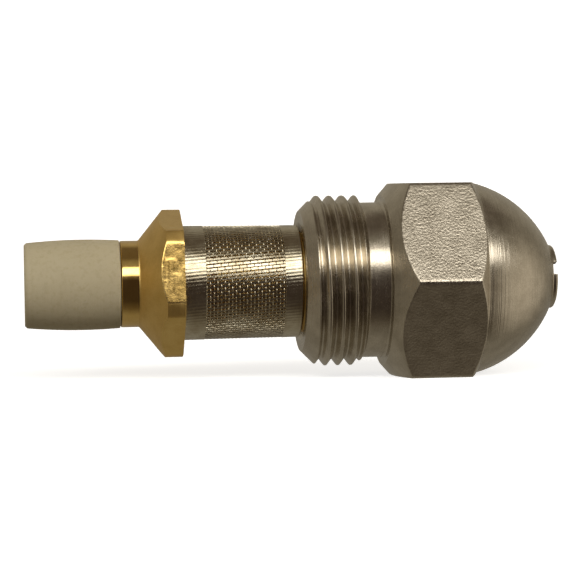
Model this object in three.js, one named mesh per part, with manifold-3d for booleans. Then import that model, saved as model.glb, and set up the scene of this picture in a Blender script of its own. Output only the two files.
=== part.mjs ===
// Oil burner nozzle with a screw-in strainer and anti-drip valve unit.
// Millimetres. +X runs along the nozzle axis towards the spray and +Z is up. The origin is the
// centre of the orifice outlet. Most pieces are turned, so their outlines are lists of
// [x, radius] points: forwards along the outside, then back along the bore.

import * as THREE from 'three';
import { mergeVertices } from 'three/addons/utils/BufferGeometryUtils.js';
import Module from 'manifold-3d';

const wasm = await Module();
wasm.setup();

// ---------------------------------------------------------------- driving dimensions

const SIDES = 36; // facets round a large turned piece
const SMALL_SIDES = 24; // facets round a small turned piece
const HOLE_SIDES = 16;
const RING_SECTION_SIDES = 10;
const GAP = 0.05; // clearance between pieces that touch or slide

const HEX = { acrossFlats: 15.875, rear: -14.0, rearRadius: 7.1, cornerRear: -12.2, cornerFront: -7.21 };
const DOME = { rear: -6.39, front: -0.06, frontRadius: 2.85, arcRadius: 9.6 };
const COLLAR = { radius: 2.63, front: 0.44, rimRound: 0.2 };
const TIP_SLOT = { width: 1.05, depth: 0.38, liftDeg: 18.4 };
const RELIEF = { radius: 6.4, rear: -15.9 };
const MAIN_THREAD = { radius: 7.05, pitch: 1.058, topCrest: -19.33, runOut: 0.5 };
const SEAT = { rear: -20.8, rearRadius: 5.79, boreEntryRadius: 4.8 };

const BODY_BORE = { radius: 4.36, front: -6.4 }; // takes the lock screw and the valve unit's spigot
const DISTRIBUTOR_BORE = { radius: 3.3, rear: -5.3, front: -2.9 };
const DISC_BORE = { radius: 2.75, rear: -2.6, front: -1.0 };
const SPRAY_MOUTH = { radius: 1.5, flareRear: 0.04, flareRadius: 1.9 };

const ORIFICE = { radius: 0.14, rear: -0.55 };
const DISC = { rear: -2.5, radius: 2.7, noseRadius: 1.42, coneRadius: 1.85 };
const DISTRIBUTOR = { rear: -5.9, radius: 2.6, tipRadius: 0.45, slots: 4, slotWidth: 0.4, slotOffset: 0.55 };
const LOCK_SCREW = {
  rear: -10.6,
  shoulder: -7.2,
  front: -5.95,
  radius: 4.28,
  chamfer: 0.4,
  noseRadius: 2.2,
  boreRadius: 1.3,
  boreEnd: -6.2,
  outletRadius: 0.45,
  slotWidth: 1.2,
  slotDepth: 1.4,
};

const TUBE = {
  rear: -31.3,
  radius: 3.0,
  boreRadius: 1.5,
  seatRear: -31.5,
  seatRadius: 1.9,
  bodyRear: -28.4,
  bodyRadius: 3.5,
};
const SPIGOT = {
  rear: -22.26,
  front: -16.9,
  bandRadius: 4.37,
  noseRadius: 4.2,
  noseTaper: 0.2,
  countersink: 0.5,
};
const SPIGOT_THREAD = { radius: 4.3, pitch: 0.794, rear: -20.9, front: -18.2 };
const SPIGOT_GROOVE = { rear: -18.05, front: -17.2, radius: 3.45 };
const SPIGOT_RING = { radius: 3.89, section: 0.36 };

const SLEEVE = { rear: -30.53, front: -21.0, rearRadius: 4.7, frontRadius: 4.62, wall: 0.2 };

const FLANGE = { acrossFlats: 11.06, cornerRadius: 6.07, rear: -32.45, front: -30.56, turnDeg: 19.3 };
const BOSS = { radius: 4.45, front: -28.88 };
const NECK = { radius: 3.546, rear: -35.56, front: -34.06 };
const CYLINDER = { rear: -42.3, radius: 2.95, boreRadius: 2.45, front: -32.3 };
const GALLERY = { radius: 4.15, front: -31.25 };
const FEED_HOLES = { count: 6, radius: 0.4, circleRadius: 3.7 };

const PISTON = { front: -32.0, rear: -36.9, pocketFront: -35.0, pocketRadius: 1.9 };
const PISTON_GROOVE = { rear: -34.6, front: -33.6, radius: 1.45 };
const PISTON_RING = { radius: 1.95, section: 0.44 };
const SEAL = { rear: -32.65, front: -31.58, radius: 1.95, edge: 0.15 };
const SPRING = { rear: -41.0, front: -35.05, radius: 1.45, wire: 0.19, coils: 7, stepsPerCoil: 10 };
const PLUG = {
  rear: -42.2,
  shoulder: -40.2,
  front: -38.05,
  sleeveRadius: 2.32,
  boreRadius: 1.8,
  boreEnd: -41.05,
  slotWidth: 0.8,
  slotDepth: 0.6,
};
const GASKET = { rear: -42.72, front: -42.35, radius: 2.9 };

const CAP = {
  rear: -43.36,
  boreEnd: -42.77,
  rearRadius: 3.48,
  bellyRadius: 3.69,
  mouthRadius: 3.6,
  chamfer: 0.22,
};

// ---------------------------------------------------------------- materials

const FINISHES = {
  stainless: { color: 0x9a927d, roughness: 0.35, metalness: 1 },
  brass: { color: 0xb08d45, roughness: 0.35, metalness: 1 },
  mesh: { color: 0xa59a7a, roughness: 0.4, metalness: 1 },
  spring: { color: 0x8d8d90, roughness: 0.3, metalness: 1 },
  elastomer: { color: 0x1d1b1a, roughness: 0.7, metalness: 0 },
  plastic: { color: 0xd9cfae, roughness: 0.6, metalness: 0 },
};

// ---------------------------------------------------------------- geometry helpers

// A closed geometry as a solid, turned the right way out.
function toSolid(geometry) {
  const bare = geometry.clone();
  bare.deleteAttribute('normal');
  bare.deleteAttribute('uv');
  const merged = mergeVertices(bare, 1e-4);
  const indices = merged.index.array;
  const corners = [];
  for (let i = 0; i < indices.length; i += 3) {
    const [a, b, c] = indices.slice(i, i + 3);
    if (a !== b && b !== c && c !== a) corners.push(a, b, c);
  }
  const make = (triangles) => new wasm.Manifold(new wasm.Mesh({
    numProp: 3,
    vertProperties: new Float32Array(merged.attributes.position.array),
    triVerts: new Uint32Array(triangles),
  }));
  const made = make(corners);
  return made.volume() > 0 ? made : make(corners.reverse());
}

// A solid as a geometry with flat-shaded normals.
function toGeometry(solid) {
  const { vertProperties, triVerts } = solid.getMesh();
  const geometry = new THREE.BufferGeometry();
  geometry.setAttribute('position', new THREE.BufferAttribute(vertProperties, 3));
  geometry.setIndex(new THREE.BufferAttribute(triVerts, 1));
  geometry.computeVertexNormals();
  return geometry;
}

// An outline of [x, radius] points turned about the X axis. It closes on itself if it has a bore.
function turned(outline, sides = SIDES) {
  const points = outline.map(([x, radius]) => new THREE.Vector2(radius, x));
  if (outline[0][1] > 0) points.push(points[0].clone());
  return toSolid(new THREE.LatheGeometry(points, sides).rotateZ(-Math.PI / 2));
}

// A hexagonal bar along X with corners at +Y and -Y, then turned about X.
function hexBar(acrossFlats, rear, front, turnDeg = 0) {
  const cornerRadius = acrossFlats / Math.sqrt(3);
  const bar = new THREE.CylinderGeometry(cornerRadius, cornerRadius, front - rear, 6);
  bar.rotateZ(-Math.PI / 2);
  bar.rotateX(Math.PI / 6 + THREE.MathUtils.degToRad(turnDeg));
  bar.translate((front + rear) / 2, 0, 0);
  return toSolid(bar);
}

// A flat section, drawn as (axial offset, radius), swept along a right-hand helix that starts at the top.
function helix(section, start, pitch, turns, stepsPerTurn = SIDES) {
  const sweep = new THREE.ExtrudeGeometry(new THREE.Shape(section), {
    depth: 1,
    steps: Math.round(turns * stepsPerTurn),
    bevelEnabled: false,
  });
  const place = sweep.attributes.position;
  for (let i = 0; i < place.count; i += 1) {
    const turn = place.getZ(i) * turns;
    const angle = Math.PI / 2 + turn * 2 * Math.PI;
    const radius = place.getY(i);
    place.setXYZ(i, start + turn * pitch + place.getX(i), radius * Math.cos(angle), radius * Math.sin(angle));
  }
  return toSolid(sweep);
}

// The ridge of a 60 degree thread, its foot sunk a little into the core that it stands on.
function threadRidge({ radius, pitch }, topCrest, turns, stepsPerTurn) {
  const foot = threadRoot({ radius, pitch }) - 0.1;
  const halfCrest = pitch / 16;
  const halfFoot = halfCrest + (radius - foot) * Math.tan(Math.PI / 6);
  const section = [
    new THREE.Vector2(-halfFoot, foot),
    new THREE.Vector2(halfFoot, foot),
    new THREE.Vector2(halfCrest, radius),
    new THREE.Vector2(-halfCrest, radius),
  ];
  return helix(section, topCrest, pitch, turns, stepsPerTurn);
}

// The root radius of a thread, five eighths of its sharp height below the crest.
function threadRoot({ radius, pitch }) {
  return radius - (5 / 8) * pitch * Math.cos(Math.PI / 6);
}

// A straight round hole through the solid, along any direction.
function drill(radius, length, centre, direction) {
  const bit = new THREE.CylinderGeometry(radius, radius, length, HOLE_SIDES);
  const turn = new THREE.Quaternion().setFromUnitVectors(new THREE.Vector3(0, 1, 0), direction.normalize());
  bit.applyQuaternion(turn);
  bit.translate(centre.x, centre.y, centre.z);
  return toSolid(bit);
}

// A box cutter given by its size and centre, turned about X afterwards.
function slotCutter(size, centre, turnDeg = 0) {
  const box = new THREE.BoxGeometry(...size);
  box.translate(...centre);
  box.rotateX(THREE.MathUtils.degToRad(turnDeg));
  return toSolid(box);
}

// An O-ring round the X axis, in the middle of its groove.
function oRing({ radius, section }, groove) {
  const torus = new THREE.TorusGeometry(radius, section, RING_SECTION_SIDES, SMALL_SIDES);
  torus.rotateY(Math.PI / 2);
  torus.translate((groove.rear + groove.front) / 2, 0, 0);
  return toSolid(torus);
}

// Points along a circular arc between two [x, radius] points, bulging outwards, ends left out.
function arcBetween(from, to, arcRadius, steps) {
  const a = new THREE.Vector2(...from);
  const b = new THREE.Vector2(...to);
  const half = a.distanceTo(b) / 2;
  const inward = new THREE.Vector2(b.y - a.y, a.x - b.x).normalize();
  const rise = Math.sqrt(arcRadius ** 2 - half ** 2);
  const centre = a.clone().add(b).divideScalar(2).addScaledVector(inward, rise);
  const start = Math.atan2(a.y - centre.y, a.x - centre.x);
  const end = Math.atan2(b.y - centre.y, b.x - centre.x);
  return Array.from({ length: steps - 1 }, (_, i) => {
    const angle = start + ((end - start) * (i + 1)) / steps;
    return [centre.x + arcRadius * Math.cos(angle), centre.y + arcRadius * Math.sin(angle)];
  });
}

// ---------------------------------------------------------------- nozzle

function nozzleBody() {
  const root = threadRoot(MAIN_THREAD);
  const crestRear = SEAT.rear + MAIN_THREAD.radius - SEAT.rearRadius;
  const rootRear = SEAT.rear + root - SEAT.rearRadius;
  const cornerRadius = HEX.acrossFlats / Math.sqrt(3) + 0.1;
  const domeStart = [DOME.rear, HEX.acrossFlats / 2];
  const domeEnd = [DOME.front, DOME.frontRadius];
  const rimStart = [COLLAR.front - COLLAR.rimRound, COLLAR.radius];
  const rimEnd = [COLLAR.front, COLLAR.radius - COLLAR.rimRound];
  const outside = [
    [SEAT.rear, SEAT.rearRadius],
    [rootRear, root],
    [RELIEF.rear, root],
    [RELIEF.rear, RELIEF.radius],
    [HEX.rear, RELIEF.radius],
    [HEX.rear, HEX.rearRadius],
    [HEX.cornerRear, cornerRadius],
    [HEX.cornerFront, cornerRadius],
    domeStart,
    ...arcBetween(domeStart, domeEnd, DOME.arcRadius, 7),
    domeEnd,
    [DOME.front, COLLAR.radius],
    rimStart,
    ...arcBetween(rimStart, rimEnd, COLLAR.rimRound, 2),
    rimEnd,
  ];
  const bore = [
    [COLLAR.front, SPRAY_MOUTH.flareRadius],
    [SPRAY_MOUTH.flareRear, SPRAY_MOUTH.radius],
    [DISC_BORE.front, SPRAY_MOUTH.radius],
    [DISC_BORE.front, DISC_BORE.radius],
    [DISC_BORE.rear, DISC_BORE.radius],
    [DISTRIBUTOR_BORE.front, DISTRIBUTOR_BORE.radius],
    [DISTRIBUTOR_BORE.rear, DISTRIBUTOR_BORE.radius],
    [BODY_BORE.front, BODY_BORE.radius],
    [SEAT.rear + SEAT.boreEntryRadius - BODY_BORE.radius, BODY_BORE.radius],
    [SEAT.rear, SEAT.boreEntryRadius],
  ];
  const threadEnvelope = turned([
    [SEAT.rear, 0],
    [SEAT.rear, SEAT.rearRadius],
    [crestRear, MAIN_THREAD.radius],
    [RELIEF.rear - MAIN_THREAD.runOut, MAIN_THREAD.radius],
    [RELIEF.rear, RELIEF.radius],
    [RELIEF.rear, 0],
  ]);
  const start = MAIN_THREAD.topCrest - 2 * MAIN_THREAD.pitch;
  const turns = (RELIEF.rear + MAIN_THREAD.pitch - start) / MAIN_THREAD.pitch;
  const thread = threadRidge(MAIN_THREAD, start, turns).intersect(threadEnvelope);
  const slotSize = [TIP_SLOT.depth * 2, COLLAR.radius * 3, TIP_SLOT.width];
  const slot = slotCutter(slotSize, [COLLAR.front, 0, 0], -TIP_SLOT.liftDeg);
  return turned([...outside, ...bore])
    .add(thread)
    .intersect(hexBar(HEX.acrossFlats, SEAT.rear - 1, COLLAR.front + 1))
    .subtract(slot);
}

// Radius of the disc's swirl cone at x.
function swirlConeRadius(x) {
  const slope = (DISC.coneRadius - ORIFICE.radius) / (ORIFICE.rear - DISC.rear);
  return ORIFICE.radius + slope * (ORIFICE.rear - x);
}

function orificeDisc() {
  const shoulder = DISC_BORE.front - GAP;
  return turned([
    [DISC.rear, DISC.radius],
    [shoulder, DISC.radius],
    [shoulder, DISC.noseRadius],
    [0, DISC.noseRadius],
    [0, ORIFICE.radius],
    [ORIFICE.rear, ORIFICE.radius],
    [DISC.rear, DISC.coneRadius],
  ], SMALL_SIDES);
}

function distributor() {
  const setBack = 2 * GAP;
  const coneX = (radius) => {
    const slope = swirlConeRadius(-1) - swirlConeRadius(0);
    return ORIFICE.rear - (radius - ORIFICE.radius) / slope - setBack;
  };
  const shoulder = coneX(DISTRIBUTOR.radius);
  const tip = coneX(DISTRIBUTOR.tipRadius);
  let made = turned([
    [DISTRIBUTOR.rear, 0],
    [DISTRIBUTOR.rear, DISTRIBUTOR.radius],
    [shoulder, DISTRIBUTOR.radius],
    [tip, DISTRIBUTOR.tipRadius],
    [tip, 0],
  ], SMALL_SIDES);
  // Each swirl slot lies along the cone and passes beside the axis, so the oil enters spinning.
  const coneAngle = Math.atan2(DISTRIBUTOR.radius - DISTRIBUTOR.tipRadius, tip - shoulder);
  const middleRadius = (DISTRIBUTOR.radius + DISTRIBUTOR.tipRadius) / 2;
  const slotLength = DISTRIBUTOR.radius * 3;
  for (let i = 0; i < DISTRIBUTOR.slots; i += 1) {
    const cutter = new THREE.BoxGeometry(slotLength, DISTRIBUTOR.slotWidth, DISTRIBUTOR.slotWidth * 2);
    cutter.rotateY(coneAngle);
    cutter.translate((shoulder + tip) / 2, DISTRIBUTOR.slotOffset, middleRadius);
    cutter.rotateX((i * 2 * Math.PI) / DISTRIBUTOR.slots);
    made = made.subtract(toSolid(cutter));
  }
  return made;
}

// The screw that holds the distributor against the disc. Its own fine thread is drawn as a plain cylinder.
function lockScrew() {
  const { rear, shoulder, front, radius, chamfer, noseRadius } = LOCK_SCREW;
  const { boreRadius, boreEnd, outletRadius } = LOCK_SCREW;
  const core = turned([
    [rear, 0],
    [rear, radius - chamfer],
    [rear + chamfer, radius],
    [shoulder - chamfer, radius],
    [shoulder, radius - chamfer],
    [shoulder, noseRadius],
    [front, noseRadius],
    [front, 0],
  ]);
  const bore = turned([
    [rear - 1, 0],
    [rear - 1, boreRadius],
    [boreEnd, boreRadius],
    [boreEnd, 0],
  ], SMALL_SIDES);
  const outletCentre = new THREE.Vector3(boreEnd - outletRadius, 0, 0);
  const outlet = drill(outletRadius, noseRadius * 2 + 1, outletCentre, new THREE.Vector3(0, 1, 0));
  const driverSlot = slotCutter([LOCK_SCREW.slotDepth * 2, radius * 3, LOCK_SCREW.slotWidth], [rear, 0, 0]);
  return core.subtract(bore).subtract(outlet).subtract(driverSlot);
}

// ---------------------------------------------------------------- strainer and valve unit

// The oil tube: its head screws into the nozzle, and its rear lip is the valve's seat.
function oilTube() {
  const root = threadRoot(SPIGOT_THREAD);
  const lead = SPIGOT_THREAD.radius - root;
  const outside = [
    [TUBE.seatRear, TUBE.boreRadius],
    [TUBE.seatRear, TUBE.seatRadius],
    [TUBE.rear, TUBE.seatRadius],
    [TUBE.rear, TUBE.radius],
    [TUBE.bodyRear, TUBE.radius],
    [TUBE.bodyRear + TUBE.bodyRadius - TUBE.radius, TUBE.bodyRadius],
    [SPIGOT.rear, TUBE.bodyRadius],
    [SPIGOT.rear, SPIGOT.bandRadius],
    [SPIGOT_THREAD.rear, SPIGOT.bandRadius],
    [SPIGOT_THREAD.rear, root],
    [SPIGOT_THREAD.front, root],
    [SPIGOT_THREAD.front, SPIGOT_THREAD.radius],
    [SPIGOT_GROOVE.rear, SPIGOT_THREAD.radius],
    [SPIGOT_GROOVE.rear, SPIGOT_GROOVE.radius],
    [SPIGOT_GROOVE.front, SPIGOT_GROOVE.radius],
    [SPIGOT_GROOVE.front, SPIGOT.noseRadius],
    [SPIGOT.front, SPIGOT.noseRadius - SPIGOT.noseTaper],
    [SPIGOT.front, TUBE.boreRadius + SPIGOT.countersink],
    [SPIGOT.front - SPIGOT.countersink, TUBE.boreRadius],
  ];
  const envelope = turned([
    [SPIGOT_THREAD.rear, 0],
    [SPIGOT_THREAD.rear, root],
    [SPIGOT_THREAD.rear + lead, SPIGOT_THREAD.radius],
    [SPIGOT_THREAD.front + GAP, SPIGOT_THREAD.radius],
    [SPIGOT_THREAD.front + GAP, 0],
  ], SMALL_SIDES);
  const start = SPIGOT_THREAD.rear - SPIGOT_THREAD.pitch;
  const turns = (SPIGOT_THREAD.front + SPIGOT_THREAD.pitch - start) / SPIGOT_THREAD.pitch;
  const thread = threadRidge(SPIGOT_THREAD, start, turns, SMALL_SIDES).intersect(envelope);
  return turned(outside, SMALL_SIDES).add(thread);
}

function meshSleeve() {
  return turned([
    [SLEEVE.rear, SLEEVE.rearRadius],
    [SLEEVE.front, SLEEVE.frontRadius],
    [SLEEVE.front, SLEEVE.frontRadius - SLEEVE.wall],
    [SLEEVE.rear, SLEEVE.rearRadius - SLEEVE.wall],
  ]);
}

// Hex flange, cone and neck, with the boss for the sleeve in front and the valve cylinder behind.
function valveHousing() {
  const coneRear = [NECK.front, NECK.radius];
  const threadRadius = TUBE.radius + GAP;
  const coneReach = FLANGE.rear - NECK.front;
  const coneFrontRadius = FLANGE.acrossFlats / 2;
  const slope = (coneFrontRadius - NECK.radius) / coneReach;
  const cornerX = FLANGE.rear + (FLANGE.cornerRadius - coneFrontRadius) / slope;
  const outline = [
    [CYLINDER.rear, CYLINDER.radius],
    [NECK.rear, CYLINDER.radius],
    [NECK.rear, NECK.radius],
    coneRear,
    [cornerX, FLANGE.cornerRadius],
    [FLANGE.front, FLANGE.cornerRadius],
    [FLANGE.front, BOSS.radius],
    [BOSS.front, BOSS.radius],
    [BOSS.front, threadRadius],
    [GALLERY.front, threadRadius],
    [GALLERY.front, GALLERY.radius],
    [CYLINDER.front, GALLERY.radius],
    [CYLINDER.front, CYLINDER.boreRadius],
    [CYLINDER.rear, CYLINDER.boreRadius],
  ];
  let made = turned(outline).intersect(
    hexBar(FLANGE.acrossFlats, CYLINDER.rear - 1, BOSS.front + 1, FLANGE.turnDeg),
  );
  const holeFrom = BOSS.front + 0.5;
  const holeTo = (GALLERY.front + CYLINDER.front) / 2;
  for (let i = 0; i < FEED_HOLES.count; i += 1) {
    const angle = ((i + 0.5) * 2 * Math.PI) / FEED_HOLES.count;
    const centre = new THREE.Vector3(
      (holeFrom + holeTo) / 2,
      FEED_HOLES.circleRadius * Math.cos(angle),
      FEED_HOLES.circleRadius * Math.sin(angle),
    );
    made = made.subtract(drill(FEED_HOLES.radius, holeFrom - holeTo, centre, new THREE.Vector3(1, 0, 0)));
  }
  return made;
}

function valvePiston() {
  const skirt = CYLINDER.boreRadius - GAP;
  const sealPocket = SEAL.radius + GAP;
  return turned([
    [PISTON.rear, PISTON.pocketRadius],
    [PISTON.rear, skirt],
    [PISTON_GROOVE.rear, skirt],
    [PISTON_GROOVE.rear, PISTON_GROOVE.radius],
    [PISTON_GROOVE.front, PISTON_GROOVE.radius],
    [PISTON_GROOVE.front, skirt],
    [PISTON.front, skirt],
    [PISTON.front, sealPocket],
    [SEAL.rear - GAP, sealPocket],
    [SEAL.rear - GAP, 0],
    [PISTON.pocketFront, 0],
    [PISTON.pocketFront, PISTON.pocketRadius],
  ], SMALL_SIDES);
}

function valveSeal() {
  return turned([
    [SEAL.rear, 0],
    [SEAL.rear, SEAL.radius],
    [SEAL.front - SEAL.edge, SEAL.radius],
    [SEAL.front, SEAL.radius - SEAL.edge],
    [SEAL.front, 0],
  ], SMALL_SIDES);
}

function valveSpring() {
  const { rear, front, radius, wire, coils, stepsPerCoil } = SPRING;
  const section = Array.from({ length: 6 }, (_, i) => {
    const angle = (i * Math.PI) / 3;
    return new THREE.Vector2(wire * Math.cos(angle), radius + wire * Math.sin(angle));
  });
  const pitch = (front - rear - 2 * wire) / coils;
  return helix(section, rear + wire, pitch, coils, stepsPerCoil);
}

// The plug sets the spring's load, and the end of its sleeve stops the piston.
function springPlug() {
  const thread = CYLINDER.boreRadius - GAP;
  const core = turned([
    [PLUG.rear, 0],
    [PLUG.rear, thread],
    [PLUG.shoulder, thread],
    [PLUG.shoulder, PLUG.sleeveRadius],
    [PLUG.front, PLUG.sleeveRadius],
    [PLUG.front, PLUG.boreRadius],
    [PLUG.boreEnd, PLUG.boreRadius],
    [PLUG.boreEnd, 0],
  ], SMALL_SIDES);
  return core.subtract(slotCutter([PLUG.slotDepth * 2, thread * 3, PLUG.slotWidth], [PLUG.rear, 0, 0]));
}

function capGasket() {
  return turned([
    [GASKET.rear, 0],
    [GASKET.rear, GASKET.radius],
    [GASKET.front, GASKET.radius],
    [GASKET.front, 0],
  ], SMALL_SIDES);
}

// A barrel-shaped cap: the belly is widest a little behind the middle and the mouth meets the neck.
function endCap() {
  const mouth = NECK.rear - GAP;
  const bore = CYLINDER.radius + GAP;
  const steps = 6;
  const side = Array.from({ length: steps + 1 }, (_, i) => {
    const t = i / steps;
    const x = CAP.rear + CAP.chamfer + t * (mouth - CAP.rear - CAP.chamfer);
    const ends = CAP.rearRadius + t * (CAP.mouthRadius - CAP.rearRadius);
    const swell = 4 * t * (1 - t) * (CAP.bellyRadius - (CAP.rearRadius + CAP.mouthRadius) / 2);
    return [x, ends + swell];
  });
  return turned([
    [CAP.rear, 0],
    [CAP.rear, CAP.rearRadius - CAP.chamfer],
    ...side,
    [mouth, bore],
    [CAP.boreEnd, bore],
    [CAP.boreEnd, 0],
  ]);
}

// ---------------------------------------------------------------- assembly

const PIECES = [
  ['nozzle_body', 'stainless', nozzleBody()],
  ['orifice_disc', 'stainless', orificeDisc()],
  ['swirl_distributor', 'stainless', distributor()],
  ['lock_screw', 'brass', lockScrew()],
  ['oil_tube', 'brass', oilTube()],
  ['spigot_o_ring', 'elastomer', oRing(SPIGOT_RING, SPIGOT_GROOVE)],
  ['mesh_sleeve', 'mesh', meshSleeve()],
  ['valve_housing', 'brass', valveHousing()],
  ['valve_piston', 'brass', valvePiston()],
  ['valve_seal', 'elastomer', valveSeal()],
  ['piston_o_ring', 'elastomer', oRing(PISTON_RING, PISTON_GROOVE)],
  ['valve_spring', 'spring', valveSpring()],
  ['spring_plug', 'brass', springPlug()],
  ['cap_gasket', 'elastomer', capGasket()],
  ['end_cap', 'plastic', endCap()],
];

const nozzle = new THREE.Group();
for (const [name, finish, solid] of PIECES) {
  const mesh = new THREE.Mesh(toGeometry(solid), new THREE.MeshStandardMaterial(FINISHES[finish]));
  mesh.name = name;
  nozzle.add(mesh);
}

export default nozzle;
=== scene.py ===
"""Oil burner nozzle with its strainer and anti-drip valve unit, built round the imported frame.

Every piece is turned about the X axis, so most meshes are grids of rings: an outline of
(x, radius) corners in millimetres, swept round, with a shape function that cuts the hexagons,
threads and slots into it. theta runs from +Y towards +Z.
"""

import math

import bmesh
import bpy
import numpy as np
from mathutils import Matrix, Vector


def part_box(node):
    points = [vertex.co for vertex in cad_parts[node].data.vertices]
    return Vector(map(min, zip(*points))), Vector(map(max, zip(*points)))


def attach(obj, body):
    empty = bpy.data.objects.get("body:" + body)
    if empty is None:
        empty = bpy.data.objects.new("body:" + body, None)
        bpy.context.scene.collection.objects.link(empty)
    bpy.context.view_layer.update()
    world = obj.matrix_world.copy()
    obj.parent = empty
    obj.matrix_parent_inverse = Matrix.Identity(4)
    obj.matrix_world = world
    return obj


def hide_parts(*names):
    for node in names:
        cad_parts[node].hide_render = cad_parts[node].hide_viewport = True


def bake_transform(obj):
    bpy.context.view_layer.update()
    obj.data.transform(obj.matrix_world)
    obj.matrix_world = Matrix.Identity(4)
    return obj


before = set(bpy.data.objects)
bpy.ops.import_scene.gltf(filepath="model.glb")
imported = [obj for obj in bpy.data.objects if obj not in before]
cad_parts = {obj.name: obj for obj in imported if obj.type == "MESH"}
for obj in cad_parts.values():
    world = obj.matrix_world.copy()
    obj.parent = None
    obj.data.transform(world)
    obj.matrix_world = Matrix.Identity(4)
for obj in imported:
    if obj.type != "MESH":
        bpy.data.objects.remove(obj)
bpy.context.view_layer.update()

MM = 0.001
TAU = 2 * math.pi


def span(node):
    """(rear x, front x, outer radius) of a CAD node in millimetres."""
    low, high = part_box(node)
    return low[0] / MM, high[0] / MM, high[2] / MM


BODY_REAR, TIP_FRONT, HEX_INRADIUS = span("nozzle_body")
DISC_REAR, DISC_FRONT, DISC_RADIUS = span("orifice_disc")
DISTRIBUTOR_REAR, DISTRIBUTOR_TIP, DISTRIBUTOR_RADIUS = span("swirl_distributor")
SCREW_REAR, SCREW_FRONT, SCREW_RADIUS = span("lock_screw")
TUBE_REAR, TUBE_FRONT, BAND_RADIUS = span("oil_tube")
SPIGOT_RING_REAR, SPIGOT_RING_FRONT, SPIGOT_RING_RADIUS = span("spigot_o_ring")
SLEEVE_REAR, SLEEVE_FRONT, SLEEVE_RADIUS = span("mesh_sleeve")
HOUSING_REAR, HOUSING_FRONT, _ = span("valve_housing")
PISTON_REAR, PISTON_FRONT, PISTON_RADIUS = span("valve_piston")
SEAL_REAR, SEAL_FRONT, SEAL_RADIUS = span("valve_seal")
PISTON_RING_REAR, PISTON_RING_FRONT, PISTON_RING_RADIUS = span("piston_o_ring")
SPRING_REAR, SPRING_FRONT, SPRING_RADIUS = span("valve_spring")
PLUG_REAR, PLUG_FRONT, PLUG_RADIUS = span("spring_plug")
GASKET_REAR, GASKET_FRONT, GASKET_RADIUS = span("cap_gasket")
CAP_REAR, CAP_FRONT, CAP_RADIUS = span("end_cap")

# ------------------------------------------------------------------ mesh helpers


def rounded_outline(corners, spacing, closed):
    """Points along a chain of (x, radius, fillet) corners, each corner rounded by its fillet radius."""
    points = [np.array(c[:2], float) for c in corners]
    fillets = [c[2] if len(c) > 2 else 0.0 for c in corners]
    count = len(points)
    chain = []
    for i, here in enumerate(points):
        at_end = not closed and i in (0, count - 1)
        before, after = points[i - 1], points[(i + 1) % count]
        into, out = here - before, after - here
        reach_in, reach_out = np.linalg.norm(into), np.linalg.norm(out)
        if at_end or not fillets[i] or not reach_in or not reach_out:
            chain.append(here)
            continue
        into, out = into / reach_in, out / reach_out
        turn = math.acos(float(np.clip(into @ out, -1, 1)))
        if turn < 0.02:
            chain.append(here)
            continue
        trim = min(fillets[i] * math.tan(turn / 2), 0.45 * reach_in, 0.45 * reach_out)
        radius = trim / math.tan(turn / 2)
        start = here - into * trim
        side = np.array([-into[1], into[0]]) * np.sign(into[0] * out[1] - into[1] * out[0])
        centre = start + side * radius
        steps = max(2, math.ceil(turn / math.radians(20)))
        for k in range(steps + 1):
            angle = turn * k / steps
            chain.append(centre - side * radius * math.cos(angle) + into * radius * math.sin(angle))
    if closed:
        chain.append(chain[0])
    dense = [chain[0]]
    for a, b in zip(chain, chain[1:]):
        gap = spacing(a, b) if callable(spacing) else spacing
        steps = max(1, math.ceil(np.linalg.norm(b - a) / gap - 1e-6))
        dense += [a + (b - a) * k / steps for k in range(1, steps + 1)]
    if closed:
        dense.pop()
    return np.array(dense)


def grid_mesh(name, grid, axis_rows=(), closed_rows=False, fields=None):
    """A mesh from a (rows, columns, 3) grid in millimetres, closed round its columns."""
    rows, columns = grid.shape[:2]
    index = np.arange(rows * columns).reshape(rows, columns)
    for row in axis_rows:
        index[row] = index[row, 0]
    following = np.roll(index, -1, axis=0)
    last = rows if closed_rows else rows - 1
    here, ahead = index[:last], following[:last]
    quads = np.stack([here, np.roll(here, -1, axis=1), np.roll(ahead, -1, axis=1), ahead], axis=-1)
    faces = []
    for quad in quads.reshape(-1, 4).tolist():
        corners = list(dict.fromkeys(quad))
        if len(corners) > 2:
            faces.append(corners)
    mesh = bpy.data.meshes.new(name)
    mesh.from_pydata((grid.reshape(-1, 3) * MM).tolist(), [], faces)
    for label, values in (fields or {}).items():
        attribute = mesh.attributes.new(label, "FLOAT", "POINT")
        attribute.data.foreach_set("value", np.ascontiguousarray(values, np.float32).ravel())
    return finish_mesh(name, mesh)


def finish_mesh(name, mesh):
    """Drops loose vertices, turns the faces outwards, shades them smooth and makes the object."""
    tidy = bmesh.new()
    tidy.from_mesh(mesh)
    loose = [v for v in tidy.verts if not v.link_faces]
    bmesh.ops.delete(tidy, geom=loose, context="VERTS")
    bmesh.ops.recalc_face_normals(tidy, faces=tidy.faces)
    tidy.to_mesh(mesh)
    tidy.free()
    mesh.shade_smooth()
    piece = bpy.data.objects.new(name, mesh)
    bpy.context.scene.collection.objects.link(piece)
    return piece


def turned(name, corners, columns=96, spacing=0.6, shape=None, closed=True):
    """A turned piece: the rounded outline swept about X, its rings then moved by shape(x, r, theta)."""
    profile = rounded_outline(corners, spacing, closed)
    theta = np.arange(columns) * TAU / columns
    x = np.repeat(profile[:, :1], columns, axis=1)
    r = np.repeat(profile[:, 1:], columns, axis=1)
    fields = {"flat": np.zeros_like(x)}
    if shape:
        x, r, fields = shape(x, r, theta[None, :])
    grid = np.stack([x, r * np.cos(theta), r * np.sin(theta)], axis=-1)
    on_axis = [i for i, point in enumerate(profile) if point[1] < 1e-6]
    return grid_mesh(name, grid, on_axis, closed, fields)


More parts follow.
